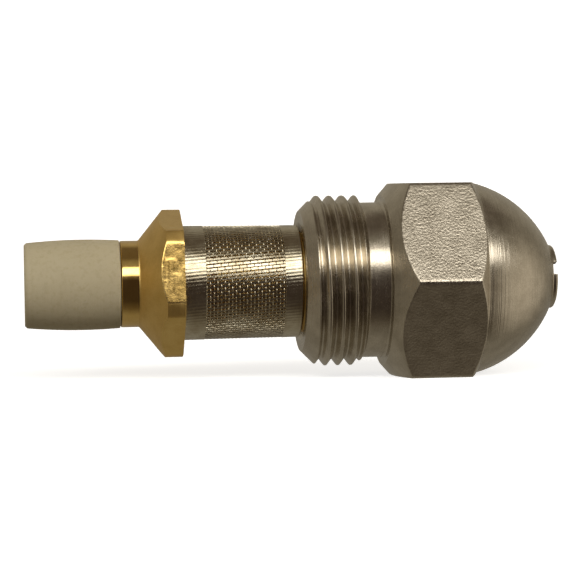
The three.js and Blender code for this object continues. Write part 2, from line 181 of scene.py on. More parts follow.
def soft_min(a, b, blend):
    """The lesser of a and b, with the edge between them rounded over about blend."""
    near = np.clip(blend - np.abs(a - b), 0, None) / blend
    return np.minimum(a, b) - near * near * blend / 4


def hex_radius(theta, inradius, flat_angle):
    """The radius of a hexagon at theta, with one flat's normal at flat_angle."""
    off = (theta - flat_angle + TAU / 12) % (TAU / 6) - TAU / 12
    return inradius / np.cos(off)


def thread_height(x, theta, crest_at_top, pitch, sharpness=1.25):
    """0 at the root of a right-hand thread and 1 at its crest, with both rounded."""
    phase = (x - crest_at_top) / pitch - (theta - TAU / 4) / TAU
    away = np.abs(phase - np.round(phase)) * 2
    return np.clip((1 - away) * sharpness - (sharpness - 1) / 2, 0, 1)


def smooth_noise(rng, u, v, cells_u, cells_v):
    """Seeded lattice noise, about -1 to 1: u and v run 0 to 1 and v wraps."""
    lattice = rng.uniform(-1, 1, (cells_u + 2, cells_v))
    a, b = np.clip(u, 0, 1) * cells_u, (v % 1) * cells_v
    i, j = np.floor(a).astype(int), np.floor(b).astype(int)
    s, t = a - i, b - j
    s, t = s * s * (3 - 2 * s), t * t * (3 - 2 * t)
    j0, j1 = j % cells_v, (j + 1) % cells_v
    low = lattice[i, j0] * (1 - t) + lattice[i, j1] * t
    high = lattice[i + 1, j0] * (1 - t) + lattice[i + 1, j1] * t
    return low * (1 - s) + high * s


ROLLED_UP = np.array([1, 1, 0.4, -0.4, -1, -1, -0.4, 0.4])
ROLLED_ACROSS = np.array([-0.91, 0.91, 1, 1, 0.91, -0.91, -1, -1])


def tubes(name, centres, normals, binormals, radii, sides, closed=False, rolled=False):
    """Wires as one mesh: centres is (wires, points, 3), with a normal and a binormal at each point. radii
    is half the thickness along the normal and half the width along the binormal. Rolled wire is flat,
    with chamfered edges, and has 8 sides."""
    wires, points = centres.shape[:2]
    around = np.arange(sides) * TAU / sides
    normals = normals / np.linalg.norm(normals, axis=-1, keepdims=True)
    high, wide = radii
    up, across = (ROLLED_UP, ROLLED_ACROSS) if rolled else (np.cos(around), np.sin(around))
    ring = (
        high * normals[:, :, None] * up[None, None, :, None]
        + wide * binormals[:, :, None] * across[None, None, :, None]
    )
    verts = centres[:, :, None] + ring
    index = np.arange(wires * points * sides).reshape(wires, points, sides)
    here = index if closed else index[:, :-1]
    ahead = np.roll(index, -1, axis=1) if closed else index[:, 1:]
    quads = np.stack([here, np.roll(here, -1, axis=2), np.roll(ahead, -1, axis=2), ahead], axis=-1)
    faces = quads.reshape(-1, 4).tolist()
    if not closed:
        faces += index[:, 0].tolist() + index[:, -1, ::-1].tolist()
    mesh = bpy.data.meshes.new(name)
    mesh.from_pydata((verts.reshape(-1, 3) * MM).tolist(), [], faces)
    piece = finish_mesh(name, mesh)
    if rolled:
        mesh.shade_flat()
    return piece


# ------------------------------------------------------------------ materials


class Nodes:
    """A short way to write a node tree for one material."""

    def __init__(self, name):
        self.material = bpy.data.materials.new(name)
        self.material.use_nodes = True
        self.tree = self.material.node_tree
        self.shader = self.tree.nodes["Principled BSDF"]

    def add(self, kind, settings=None, **inputs):
        node = self.tree.nodes.new(kind)
        for key, value in (settings or {}).items():
            setattr(node, key, value)
        for key, value in inputs.items():
            self.feed(node.inputs[key.replace("_", " ")], value)
        return node

    def feed(self, socket, value):
        if isinstance(value, bpy.types.NodeSocket):
            self.tree.links.new(value, socket)
        else:
            socket.default_value = value

    def math(self, operation, a, b=0.0, clamp=False):
        node = self.add("ShaderNodeMath", {"operation": operation, "use_clamp": clamp})
        self.feed(node.inputs[0], a)
        self.feed(node.inputs[1], b)
        return node.outputs[0]

    def blend(self, factor, low, high):
        """low and high are colours or sockets."""
        node = self.add("ShaderNodeMix", {"data_type": "RGBA"})
        self.feed(node.inputs["Factor"], factor)
        for socket, value in ((node.inputs[6], low), (node.inputs[7], high)):
            self.feed(socket, (*value, 1) if isinstance(value, tuple) else value)
        return node.outputs[2]

    def ramp(self, factor, stops):
        """stops is a list of (position, value) pairs, read as greys."""
        node = self.add("ShaderNodeValToRGB", Fac=factor)
        elements = node.color_ramp.elements
        while len(elements) < len(stops):
            elements.new(0.5)
        for element, (position, value) in zip(elements, stops):
            element.position = position
            element.color = (value, value, value, 1)
        return node.outputs["Color"]

    def noise(self, vector, scale, detail=3.0, roughness=0.5):
        return self.add(
            "ShaderNodeTexNoise", Vector=vector, Scale=scale, Detail=detail, Roughness=roughness
        ).outputs["Fac"]

    def attribute(self, name):
        return self.add("ShaderNodeAttribute", {"attribute_name": name}).outputs["Fac"]

    def place(self):
        """The point in millimetres, then (x, distance from the axis, 0), the same all round a turned
        piece, then x alone."""
        coordinates = self.add("ShaderNodeTexCoord").outputs["Object"]
        scale = self.add("ShaderNodeVectorMath", {"operation": "SCALE"}, Vector=coordinates, Scale=1 / MM)
        scaled = scale.outputs[0]
        parts = self.add("ShaderNodeSeparateXYZ", Vector=scaled)
        y2 = self.math("MULTIPLY", parts.outputs["Y"], parts.outputs["Y"])
        z2 = self.math("MULTIPLY", parts.outputs["Z"], parts.outputs["Z"])
        radius = self.math("SQRT", self.math("ADD", y2, z2))
        rings = self.add("ShaderNodeCombineXYZ", X=parts.outputs["X"], Y=radius).outputs[0]
        return scaled, rings, parts.outputs["X"]

    def bump(self, height, distance_mm, strength=1.0, normal=None):
        node = self.add("ShaderNodeBump", Height=height, Distance=distance_mm * MM, Strength=strength)
        if normal is not None:
            self.feed(node.inputs["Normal"], normal)
        return node.outputs["Normal"]


def metal(name, light, dark, turned_roughness, flat_roughness, line_depth, pit_depth, polish=None):
    """A machined metal: fine turning lines round its turned faces, and a pitted skin where the
    mesh's 'flat' field is 1. polish is (front x, roughness): behind that x the metal takes that smoother
    roughness."""
    n = Nodes(name)
    point, rings, x = n.place()
    flat = n.attribute("flat")
    stain = n.noise(point, 0.7, 4.0, 0.6)
    speckle = n.noise(point, 9.0, 2.0)
    lines = n.noise(rings, 9.0, 3.0, 0.65)
    broad_lines = n.noise(rings, 5.0, 1.0)
    pits = n.noise(point, 5.5, 2.0, 0.55)
    tone = n.math("ADD", n.math("MULTIPLY", stain, 0.65), n.math("MULTIPLY", speckle, 0.35))
    tone = n.ramp(tone, [(0.36, 0.0), (0.62, 1.0)])
    n.feed(n.shader.inputs["Base Color"], n.blend(tone, dark, light))
    n.shader.inputs["Metallic"].default_value = 1.0
    smooth = turned_roughness
    if polish:
        front_x, polished = polish
        behind = n.math("LESS_THAN", x, front_x)
        smooth = n.math("MULTIPLY_ADD", behind, polished - turned_roughness)
        smooth.node.inputs[2].default_value = turned_roughness
    uneven = n.math("MULTIPLY", n.math("SUBTRACT", n.math("ADD", stain, broad_lines), 1.0), 0.14)
    rough = n.add("ShaderNodeMix", {"data_type": "FLOAT"})
    n.feed(rough.inputs["Factor"], flat)
    n.feed(rough.inputs[2], n.math("ADD", smooth, uneven))
    n.feed(rough.inputs[3], n.math("ADD", uneven, flat_roughness))
    n.feed(n.shader.inputs["Roughness"], n.math("MAXIMUM", rough.outputs[0], 0.06))
    line_height = n.math("MULTIPLY", lines, n.math("SUBTRACT", 1.0, flat))
    first = n.bump(line_height, line_depth)
    pit_height = n.math("MULTIPLY", pits, n.math("ADD", n.math("MULTIPLY", flat, 0.9), 0.1))
    n.feed(n.shader.inputs["Normal"], n.bump(pit_height, pit_depth, normal=first))
    return n.material


def wire_metal(name, light, dark, roughness):
    """Drawn wire, dulled unevenly from one stretch to the next."""
    n = Nodes(name)
    point, _, _ = n.place()
    tarnish = n.ramp(n.noise(point, 0.55, 4.0, 0.65), [(0.35, 0.0), (0.65, 1.0)])
    n.feed(n.shader.inputs["Base Color"], n.blend(tarnish, dark, light))
    n.shader.inputs["Metallic"].default_value = 1.0
    uneven = n.math("MULTIPLY", n.noise(point, 3.0), 0.2)
    n.feed(n.shader.inputs["Roughness"], n.math("ADD", uneven, roughness))
    n.feed(n.shader.inputs["Normal"], n.bump(n.noise(point, 30.0), 0.01))
    return n.material


def plastic(name):
    """Off-white moulded plastic with a fine matt skin, faint flow marks and a little grime."""
    n = Nodes(name)
    point, rings, _ = n.place()
    cloud = n.noise(point, 0.45, 4.0, 0.6)
    grime = n.ramp(n.noise(point, 2.4, 5.0, 0.7), [(0.3, 0.0), (0.52, 1.0)])
    base = n.blend(cloud, (0.50, 0.43, 0.28), (0.56, 0.49, 0.33))
    n.feed(n.shader.inputs["Base Color"], n.blend(grime, (0.47, 0.40, 0.25), base))
    n.feed(n.shader.inputs["Roughness"], n.math("ADD", n.math("MULTIPLY", n.noise(point, 4.0), 0.2), 0.6))
    n.shader.inputs["Specular IOR Level"].default_value = 0.3
    n.shader.inputs["Subsurface Weight"].default_value = 0.15
    n.shader.inputs["Subsurface Radius"].default_value = (0.6 * MM, 0.5 * MM, 0.35 * MM)
    n.shader.inputs["Subsurface Scale"].default_value = 1.0
    grain = n.bump(n.noise(point, 16.0, 3.0), 0.012)
    n.feed(n.shader.inputs["Normal"], n.bump(n.noise(rings, 3.0, 1.0), 0.012, normal=grain))
    return n.material


def elastomer(name):
    """Matt black rubber with a faint bloom."""
    n = Nodes(name)
    point, _, _ = n.place()
    bloom = n.ramp(n.noise(point, 1.5, 4.0), [(0.4, 0.0), (0.7, 1.0)])
    n.feed(n.shader.inputs["Base Color"], n.blend(bloom, (0.012, 0.012, 0.012), (0.035, 0.033, 0.03)))
    n.feed(n.shader.inputs["Roughness"], n.math("ADD", n.math("MULTIPLY", bloom, 0.2), 0.5))
    n.feed(n.shader.inputs["Normal"], n.bump(n.noise(point, 12.0), 0.01))
    return n.material


# ------------------------------------------------------------------ pieces


def place(piece, body, node, material):
    """Gives a finished piece its material, body and slot, and hides the CAD node that it stands for."""
    piece.data.materials.clear()
    piece.data.materials.append(material)
    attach(piece, body)
    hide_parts(node)
    return piece


STEEL = metal(
    "stainless_steel", (0.58, 0.52, 0.42), (0.42, 0.37, 0.29), 0.24, 0.34, 0.02, 0.038
)
DARK_STEEL = metal(
    "stainless_internal", (0.56, 0.53, 0.48), (0.42, 0.39, 0.34), 0.25, 0.3, 0.015, 0.03
)
BRASS = metal(
    "turned_brass", (0.82, 0.57, 0.20), (0.70, 0.46, 0.14), 0.44, 0.2, 0.014, 0.006, polish=(-34.15, 0.08)
)
WIRE = wire_metal("woven_wire", (0.64, 0.58, 0.44), (0.42, 0.35, 0.23), 0.09)
SPRING_STEEL = wire_metal("spring_wire", (0.62, 0.62, 0.63), (0.50, 0.50, 0.50), 0.2)
PLASTIC = plastic("white_plastic")
RUBBER = elastomer("black_elastomer")

HEX_EDGE = 0.10  # how far the hexagons' edges are rounded
MAIN_PITCH, MAIN_CREST_AT_TOP, MAIN_CREST, MAIN_ROOT = 1.058, -19.33, 7.05, 6.49
SPIGOT_PITCH, SPIGOT_CREST, SPIGOT_ROOT = 0.794, 4.3, 3.9
RELIEF_REAR, RELIEF_FRONT, RELIEF_RADIUS = -15.9, -14.0, 6.4
SEAT_RADIUS, BORE_ENTRY_RADIUS = 5.79, 4.8
CHAMFER_FOOT, CORNER_REAR, CORNER_FRONT = 7.1, -12.2, -7.21
DOME_REAR, DOME_FRONT, DOME_FRONT_RADIUS, DOME_ARC = -6.39, -0.06, 2.85, 9.6
COLLAR_RADIUS, RIM_ROUND = 2.63, 0.2
TIP_SLOT_WIDTH, TIP_SLOT_DEPTH, TIP_SLOT_LIFT = 1.05, 0.38, math.radians(18.4)
BODY_BORE, BODY_BORE_FRONT = 4.36, -6.4
DISTRIBUTOR_BORE, DISTRIBUTOR_BORE_REAR, DISTRIBUTOR_BORE_FRONT = 3.3, -5.3, -2.9
DISC_BORE, DISC_BORE_REAR, DISC_BORE_FRONT = 2.75, -2.6, -1.0
MOUTH_RADIUS, FLARE_REAR, FLARE_RADIUS = 1.5, 0.04, 1.9
DISC_NOSE_REAR, DISC_NOSE_RADIUS, SWIRL_CONE_RADIUS = -1.05, 1.42, 1.85
ORIFICE_RADIUS, ORIFICE_REAR = 0.14, -0.55


def arc_between(a, b, radius, steps):
    """(x, r) points on an arc that bulges outwards from a to b, both ends included."""
    a, b = np.array(a, float), np.array(b, float)
    chord = b - a
    half = np.linalg.norm(chord) / 2
    inward = np.array([chord[1], -chord[0]]) / (2 * half)
    centre = (a + b) / 2 + inward * math.sqrt(radius**2 - half**2)
    start, end = (math.atan2(*(p - centre)[::-1]) for p in (a, b))
    angles = np.linspace(start, end, steps + 1)
    return [tuple(centre + radius * np.array([math.cos(t), math.sin(t)])) for t in angles]


def nozzle_body():
    corner = HEX_INRADIUS / math.cos(TAU / 12)
    rear_cone_front = BODY_REAR + MAIN_CREST - SEAT_RADIUS
    dome = arc_between((DOME_REAR, HEX_INRADIUS), (DOME_FRONT, DOME_FRONT_RADIUS), DOME_ARC, 24)
    corners = [
        (BODY_REAR, SEAT_RADIUS, 0.08),
        (rear_cone_front, MAIN_CREST, 0.1),
        (RELIEF_REAR - 0.25, MAIN_CREST, 0.1),
        (RELIEF_REAR + 0.1, RELIEF_RADIUS, 0.2),
        (RELIEF_FRONT, RELIEF_RADIUS, 0.18),
        (RELIEF_FRONT, CHAMFER_FOOT, 0.08),
        (CORNER_REAR, corner - 0.03, 0.1),
        (CORNER_FRONT, corner - 0.03, 0.1),
        *dome,
        (DOME_FRONT + 0.05, COLLAR_RADIUS, 0.12),
        (TIP_FRONT, COLLAR_RADIUS, RIM_ROUND),
        (TIP_FRONT, FLARE_RADIUS, 0.08),
        (FLARE_REAR, MOUTH_RADIUS, 0.08),
        (DISC_BORE_FRONT, MOUTH_RADIUS, 0.05),
        (DISC_BORE_FRONT, DISC_BORE, 0.1),
        (DISC_BORE_REAR, DISC_BORE, 0.05),
        (DISTRIBUTOR_BORE_FRONT, DISTRIBUTOR_BORE, 0.05),
        (DISTRIBUTOR_BORE_REAR, DISTRIBUTOR_BORE, 0.1),
        (BODY_BORE_FRONT, BODY_BORE, 0.1),
        (BODY_REAR + BORE_ENTRY_RADIUS - BODY_BORE, BODY_BORE, 0.05),
        (BODY_REAR, BORE_ENTRY_RADIUS, 0.06),
    ]

    def spacing(a, b):
        middle_x, middle_r = (a + b) / 2
        outside = middle_r > SEAT_RADIUS - 0.2 or middle_x > DOME_FRONT - 2
        if not outside:
            return 0.2 if middle_x < SCREW_REAR and middle_r > BODY_BORE - 0.05 else 0.8
        if middle_x < RELIEF_REAR + 0.2:
            return 0.066
        if RELIEF_FRONT - 0.05 < middle_x < CORNER_REAR or CORNER_FRONT < middle_x < DOME_REAR + 0.6:
            return 0.07
        return 0.3 if middle_x < DOME_FRONT - 0.5 else 0.12

    rng = np.random.default_rng(11)

    def shape(x, r, theta):
        theta = theta + 0 * x
        inside = (r < SEAT_RADIUS - 0.4) & (x < -0.9)
        height = thread_height(x, theta, MAIN_CREST_AT_TOP, MAIN_PITCH)
        wear = smooth_noise(rng, (x - BODY_REAR) / 6, theta / TAU, 14, 24) * 0.035
        ridge = MAIN_ROOT + (MAIN_CREST - MAIN_ROOT + np.minimum(wear, 0)) * height
        in_thread = (x < RELIEF_REAR + 0.05) & ~inside
        r = np.where(in_thread, soft_min(r, ridge, 0.1), r)
        female = thread_height(x, theta, MAIN_CREST_AT_TOP, SPIGOT_PITCH)
        in_bore = inside & (x > BODY_REAR + 0.5) & (x < SCREW_REAR)
        r = np.where(in_bore, r + 0.3 * (1 - female), r)
        hexagon = hex_radius(theta, HEX_INRADIUS, TAU / 4)
        in_hex = (x > RELIEF_FRONT - 0.05) & (x < DOME_REAR + 1.5) & ~inside
        cut = soft_min(r, hexagon, HEX_EDGE)
        flat = np.where(in_hex, np.clip((r - hexagon) / 0.06 + 0.5, 0, 1), 0)
        dimple = smooth_noise(rng, (x + 15) / 10, theta / TAU, 26, 150) ** 2 * 0.005
        r = np.where(in_hex, cut - flat * dimple, r)
        across = r * (np.cos(theta) * math.sin(TIP_SLOT_LIFT) + np.sin(theta) * math.cos(TIP_SLOT_LIFT))
        in_slot = (np.abs(across) < TIP_SLOT_WIDTH / 2) & (x > 0)
        x = np.where(in_slot, np.minimum(x, TIP_FRONT - TIP_SLOT_DEPTH), x)
        return x, r, {"flat": flat}

    piece = turned("nozzle_shell", corners, columns=360, spacing=spacing, shape=shape)
    return place(piece, "nozzle", "nozzle_body", STEEL)


def orifice_disc():
    corners = [
        (DISC_REAR, DISC_RADIUS, 0.15),
        (DISC_NOSE_REAR, DISC_RADIUS, 0.15),
        (DISC_NOSE_REAR, DISC_NOSE_RADIUS, 0.08),
        (DISC_FRONT, DISC_NOSE_RADIUS, 0.08),
        (DISC_FRONT, ORIFICE_RADIUS, 0.04),
        (ORIFICE_REAR, ORIFICE_RADIUS, 0.03),
        (DISC_REAR, SWIRL_CONE_RADIUS, 0.05),
    ]
    piece = turned("orifice_plate", corners, columns=128, spacing=0.25)
    return place(piece, "nozzle", "orifice_disc", DARK_STEEL)


def cut_boxes(piece, boxes):
    """Cuts slots out of a piece. Each box is (size, centre, turn about Y, turn about X) in millimetres."""
    cutter = bmesh.new()
    for size, centre, tilt, turn in boxes:
        made = bmesh.ops.create_cube(cutter, size=1.0)["verts"]
        frame_of_box = (
            Matrix.Rotation(turn, 4, "X")
            @ Matrix.Translation(Vector(centre) * MM)
            @ Matrix.Rotation(tilt, 4, "Y")
            @ Matrix.Diagonal((*(Vector(size) * MM), 1))
        )
        bmesh.ops.transform(cutter, matrix=frame_of_box, verts=made)
    mesh = bpy.data.meshes.new(piece.name + "_cutter")
    cutter.to_mesh(mesh)
    cutter.free()
    tool = bpy.data.objects.new(mesh.name, mesh)
    bpy.context.scene.collection.objects.link(tool)
    cut = piece.modifiers.new("slots", "BOOLEAN")
    cut.operation, cut.solver, cut.object, cut.use_self = "DIFFERENCE", "EXACT", tool, True
    apply_modifiers(piece)
    bpy.data.objects.remove(tool)
    piece.data.shade_smooth()
    sharpen(piece)


def apply_modifiers(piece):
    graph = bpy.context.evaluated_depsgraph_get()
    result = bpy.data.meshes.new_from_object(piece.evaluated_get(graph), depsgraph=graph)
    piece.modifiers.clear()
    piece.data = result


def sharpen(piece, degrees=35):
    """Marks the edges of cut slots sharp, so that smooth shading stops at them."""
    shape = bmesh.new()
    shape.from_mesh(piece.data)
    for edge in shape.edges:
        edge.smooth = len(edge.link_faces) == 2 and edge.calc_face_angle() < math.radians(degrees)
    shape.to_mesh(piece.data)
    shape.free()


def swirl_distributor():
    tip_radius = 0.45
    slot_length, slot_width, slot_depth, slot_offset = 8, 0.4, 0.8, 0.55
    slope = (SWIRL_CONE_RADIUS - ORIFICE_RADIUS) / (ORIFICE_REAR - DISC_REAR)
    shoulder = DISTRIBUTOR_TIP - (DISTRIBUTOR_RADIUS - tip_radius) / slope
    corners = [
        (DISTRIBUTOR_REAR, 0),
        (DISTRIBUTOR_REAR, DISTRIBUTOR_RADIUS, 0.12),
        (shoulder, DISTRIBUTOR_RADIUS, 0.1),
        (DISTRIBUTOR_TIP, tip_radius, 0.05),
        (DISTRIBUTOR_TIP, 0),
    ]
    piece = turned("swirl_cone", corners, columns=96, spacing=0.3, closed=False)
    tilt = math.atan2(DISTRIBUTOR_RADIUS - tip_radius, DISTRIBUTOR_TIP - shoulder)
    middle = ((shoulder + DISTRIBUTOR_TIP) / 2, slot_offset, (DISTRIBUTOR_RADIUS + tip_radius) / 2)
    size = (slot_length, slot_width, slot_depth)
    cut_boxes(piece, [(size, middle, tilt, i * TAU / 4) for i in range(4)])
    return place(piece, "nozzle", "swirl_distributor", DARK_STEEL)


def lock_screw():
    shoulder, nose, bore, bore_end, outlet = -7.2, 2.2, 1.3, -6.2, 0.45
    driver_slot_depth, driver_slot_width = 1.4, 1.2
    corners = [
        (SCREW_REAR, bore, 0.1),
        (SCREW_REAR, SCREW_RADIUS - 0.3, 0.1),
        (SCREW_REAR + 0.3, SCREW_RADIUS, 0.1),
        (shoulder - 0.3, SCREW_RADIUS, 0.1),
        (shoulder, SCREW_RADIUS - 0.3, 0.1),
        (shoulder, nose, 0.15),
        (SCREW_FRONT, nose, 0.15),
        (SCREW_FRONT, 0),
        (bore_end + 0.1, 0),
        (bore_end, bore, 0.1),
    ]

    def shape(x, r, theta):
        height = thread_height(x, theta + 0 * x, SCREW_REAR, SPIGOT_PITCH)
        threaded = (r > nose + 0.6) & (x > SCREW_REAR + 0.05) & (x < shoulder - 0.05)
        return x, np.where(threaded, r - 0.35 * (1 - height), r), {"flat": 0 * x}

    piece = turned("distributor_screw", corners, columns=144, spacing=0.1, shape=shape, closed=False)
    slots = [
        ((driver_slot_depth * 2, SCREW_RADIUS * 3, driver_slot_width), (SCREW_REAR, 0, 0), 0, 0),
        ((outlet * 1.8, nose * 2 + 1, outlet * 1.8), (bore_end - outlet, 0, 0), 0, 0),
    ]
    cut_boxes(piece, slots)
    return place(piece, "nozzle", "lock_screw", BRASS)


def oil_tube():
    band_rear, band_front, thread_front = -22.26, -20.95, -18.2
    groove_rear, groove_front, groove = -18.05, -17.2, 3.45
    bore, seat, seat_height = 1.5, 1.9, 0.2
    thin, thick, thick_rear = 3.0, 3.5, -28.4
    corners = [
        (TUBE_REAR, bore, 0.05),
        (TUBE_REAR, seat, 0.08),
        (TUBE_REAR + seat_height, seat, 0.04),
        (TUBE_REAR + seat_height, thin, 0.1),
        (thick_rear, thin, 0.1),
        (thick_rear + thick - thin, thick, 0.1),
        (band_rear, thick, 0.15),
        (band_rear, BAND_RADIUS, 0.08),
        (band_front, BAND_RADIUS, 0.05),
        (band_front + 0.1, SPIGOT_CREST - 0.1, 0.05),
        (thread_front, SPIGOT_CREST, 0.1),
        (groove_rear, SPIGOT_CREST, 0.06),
        (groove_rear, groove, 0.08),
        (groove_front, groove, 0.08),
        (groove_front, SPIGOT_CREST - 0.08, 0.08),
        (TUBE_FRONT, SPIGOT_CREST - 0.3, 0.12),
        (TUBE_FRONT, bore + 0.5, 0.08),
        (TUBE_FRONT - 0.5, bore, 0.1),
    ]

    def spacing(a, b):
        middle_x, middle_r = (a + b) / 2
        return 0.06 if middle_r > 3.5 and band_front < middle_x < -17.9 else 0.4

    def shape(x, r, theta):
        height = thread_height(x, theta + 0 * x, band_front - SPIGOT_PITCH, SPIGOT_PITCH)
        ridge = SPIGOT_ROOT + (SPIGOT_CREST - SPIGOT_ROOT) * height
        cut = (r > 3.6) & (x > band_front + 0.12) & (x < thread_front)
        return x, np.where(cut, soft_min(r, ridge, 0.06), r), {"flat": 0 * x}

    piece = turned("oil_tube_turned", corners, columns=160, spacing=spacing, shape=shape)
    return place(piece, "strainer_unit", "oil_tube", BRASS)


def o_ring(name, rear, front, outer, body, node):
    section = (front - rear) / 2
    middle_x, middle_r = (rear + front) / 2, outer - section
    theta = np.arange(24) * TAU / 24
    corners = [(middle_x + section * math.cos(t), middle_r + section * math.sin(t)) for t in theta]
    piece = turned(name, corners, columns=96, spacing=1.0)
    return place(piece, body, node, RUBBER)


WARP_WIRES, WEFT_PITCH = 100, 0.298
WARP_WIDTH, WARP_THICKNESS, WARP_WAVE = 0.19, 0.08, 0.006
WEFT_WIDTH, WEFT_THICKNESS, WEFT_WAVE = 0.10, 0.05, 0.044
CLOTH_LEAN = math.radians(5.2)  # the cloth is rolled a little out of square
CLOTH_REAR, CLOTH_FRONT = -28.8, -22.4  # the open mesh, between the two bands
SLEEVE_TAPER = 0.08


def sleeve_radius(x):
    return SLEEVE_RADIUS - SLEEVE_TAPER * (x - SLEEVE_REAR) / (SLEEVE_FRONT - SLEEVE_REAR)


def round_frame(theta):
    """Unit vectors outwards and round the axis at theta."""
    outward = np.stack([0 * theta, np.cos(theta), np.sin(theta)], axis=-1)
    round_way = np.stack([0 * theta, -np.sin(theta), np.cos(theta)], axis=-1)
    return outward, round_way


def woven_sleeve():
    """The strainer cloth: flat wires along the sleeve and thinner rings round it, each passing over
    and under the others, with a plain band at each end."""
    depth = WEFT_WAVE + WEFT_THICKNESS / 2 + 0.004
    along = np.array([1.0, 0.0, 0.0])
    rng = np.random.default_rng(5)

    x = np.arange(CLOTH_REAR - 0.1, CLOTH_FRONT + 0.1, WEFT_PITCH / 2)[None, :]
    number = np.arange(WARP_WIRES)[:, None]
    phase = math.pi * ((x - CLOTH_REAR) / WEFT_PITCH + number)
    lean = math.tan(CLOTH_LEAN) / SLEEVE_RADIUS
    theta = number * TAU / WARP_WIRES - lean * (x - CLOTH_REAR) + rng.normal(0, 0.003, (WARP_WIRES, 1))
    radius = sleeve_radius(x) - depth + WARP_WAVE * np.cos(phase)
    slope = -WARP_WAVE * math.pi / WEFT_PITCH * np.sin(phase)
    outward, round_way = round_frame(theta)
    centres = outward * radius[..., None] + (x + 0 * theta)[..., None] * along
    normals = outward - along * slope[..., None]
    section = (WARP_THICKNESS / 2, WARP_WIDTH / 2)
    warp = tubes("mesh_warp_wires", centres, normals, round_way, section, len(ROLLED_UP), rolled=True)

    rings = int((CLOTH_FRONT - CLOTH_REAR) / WEFT_PITCH)
    number = np.arange(rings + 1)[:, None]
    points = WARP_WIRES * 4
    turn = np.arange(points)[None, :] * TAU / points + 0 * number
    x = CLOTH_REAR + number * WEFT_PITCH + 0 * turn
    phase = math.pi * number + turn * WARP_WIRES / 2
    radius = sleeve_radius(x) - depth - WEFT_WAVE * np.cos(phase)
    slope = WEFT_WAVE * WARP_WIRES / 2 * np.sin(phase) / radius
    outward, round_way = round_frame(turn - lean * (x - CLOTH_REAR))
    centres = outward * radius[..., None] + x[..., None] * along
    normals = outward - round_way * slope[..., None]
    binormals = np.broadcast_to(along, normals.shape)
    section = (WEFT_THICKNESS / 2, WEFT_WIDTH / 2)
    weft = tubes("mesh_weft_wires", centres, normals, binormals, section, 6, closed=True)

    bands = [("mesh_rear_band", SLEEVE_REAR, CLOTH_REAR), ("mesh_front_band", CLOTH_FRONT, SLEEVE_FRONT)]
    for piece in (warp, weft, *(sleeve_band(*band) for band in bands)):
        place(piece, "strainer_unit", "mesh_sleeve", WIRE)


def sleeve_band(name, rear, front):
    """Where the cloth's end is pressed solid: a thin ring that still shows the weave faintly."""
    inner = 0.17
    corners = [
        (rear, sleeve_radius(rear) - 0.012, 0.03),
        (front, sleeve_radius(front) - 0.012, 0.03),
        (front, sleeve_radius(front) - inner, 0.02),
        (rear, sleeve_radius(rear) - inner, 0.02),
    ]

    def shape(x, r, theta):
        outside = r > SLEEVE_RADIUS - 0.12
        leaning = theta + math.tan(CLOTH_LEAN) / SLEEVE_RADIUS * (x - CLOTH_REAR)
        weave = np.cos(leaning * WARP_WIRES) * 0.6 + np.cos(TAU * (x - CLOTH_REAR) / WEFT_PITCH) * 0.4
        return x, np.where(outside, r + 0.012 * weave, r), {"flat": 0 * x}

    return turned(name, corners, columns=400, spacing=0.1, shape=shape)


FLANGE_REAR, FLANGE_FRONT, FLANGE_INRADIUS, FLANGE_CORNER = -32.45, -30.56, 5.53, 6.07
FLANGE_FLAT_ANGLE = TAU / 2 - math.radians(10.7)
NECK_REAR, NECK_FRONT, NECK_RADIUS, BOSS_RADIUS = -35.56, -34.06, 3.546, 4.45
CYLINDER_RADIUS, CYLINDER_BORE, CYLINDER_FRONT = 2.95, 2.45, -32.3
GALLERY_RADIUS, GALLERY_FRONT, TUBE_SOCKET_RADIUS = 4.15, -31.25, 3.05


def valve_housing():
    slope = (FLANGE_INRADIUS - NECK_RADIUS) / (FLANGE_REAR - NECK_FRONT)
    corner_x = FLANGE_REAR + (FLANGE_CORNER - FLANGE_INRADIUS) / slope
    corners = [
        (HOUSING_REAR, CYLINDER_BORE, 0.05),
        (HOUSING_REAR, CYLINDER_RADIUS, 0.1),
        (NECK_REAR, CYLINDER_RADIUS, 0.1),
        (NECK_REAR, NECK_RADIUS, 0.12),
        (NECK_FRONT, NECK_RADIUS, 0.1),
        (corner_x, FLANGE_CORNER, 0.06),
        (FLANGE_FRONT, FLANGE_CORNER, 0.06),
        (FLANGE_FRONT, BOSS_RADIUS, 0.1),
        (HOUSING_FRONT, BOSS_RADIUS, 0.1),
        (HOUSING_FRONT, TUBE_SOCKET_RADIUS, 0.05),
        (GALLERY_FRONT, TUBE_SOCKET_RADIUS, 0.05),
        (GALLERY_FRONT, GALLERY_RADIUS, 0.1),
        (CYLINDER_FRONT, GALLERY_RADIUS, 0.1),
        (CYLINDER_FRONT, CYLINDER_BORE, 0.08),
    ]

    def spacing(a, b):
        middle_x, middle_r = (a + b) / 2
        return 0.06 if middle_r > 4.6 and NECK_FRONT < middle_x < FLANGE_FRONT + 0.1 else 0.3

    rng = np.random.default_rng(23)

    def shape(x, r, theta):
        theta = theta + 0 * x
        hexagon = hex_radius(theta, FLANGE_INRADIUS, FLANGE_FLAT_ANGLE)
        flat = np.clip((r - hexagon) / 0.04 + 0.5, 0, 1)
        dents = np.clip(smooth_noise(rng, (x + 33) / 3, theta / TAU, 6, 60) - 0.25, 0, 1) * 0.022
        return x, soft_min(r, hexagon, 0.07) - flat * dents, {"flat": flat}

    piece = turned("valve_housing_turned", corners, columns=360, spacing=spacing, shape=shape)
    return place(piece, "strainer_unit", "valve_housing", BRASS)


